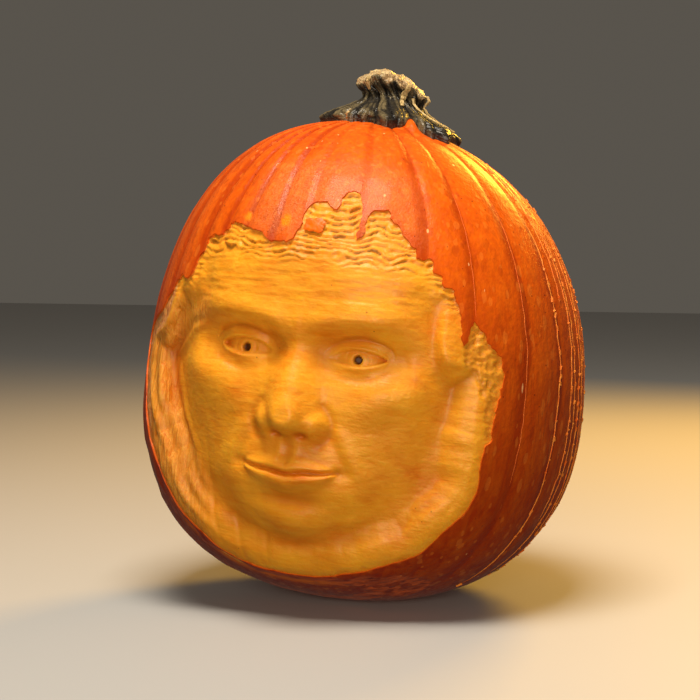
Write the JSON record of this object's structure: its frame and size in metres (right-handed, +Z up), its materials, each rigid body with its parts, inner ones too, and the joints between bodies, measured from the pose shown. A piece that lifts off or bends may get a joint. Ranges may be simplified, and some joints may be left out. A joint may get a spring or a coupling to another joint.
{
  "type": "carved pumpkin",
  "caption": "Whole pumpkin with a calm face sculpted in relief in its flesh inside a ragged opening in the rind, and a dry woody stem.",
  "frame": {"origin": "middle of the whole object's box in X and Y, at the foot's flat underside", "axes": "+Z up, the carved face looks towards -Y, the pumpkin's crown leans a little towards +X"},
  "size_m": [0.269, 0.2676, 0.324],
  "materials": {
    "rind": "waxy orange rind, low gloss",
    "flesh": "moist yellow-orange cut flesh with tool marks",
    "stem": "dry wrinkled grey-green peduncle, paler where cut"
  },
  "bodies": {
    "root": {"pumpkin": "rind", "stem": "stem"}
  },
  "joints": []
}
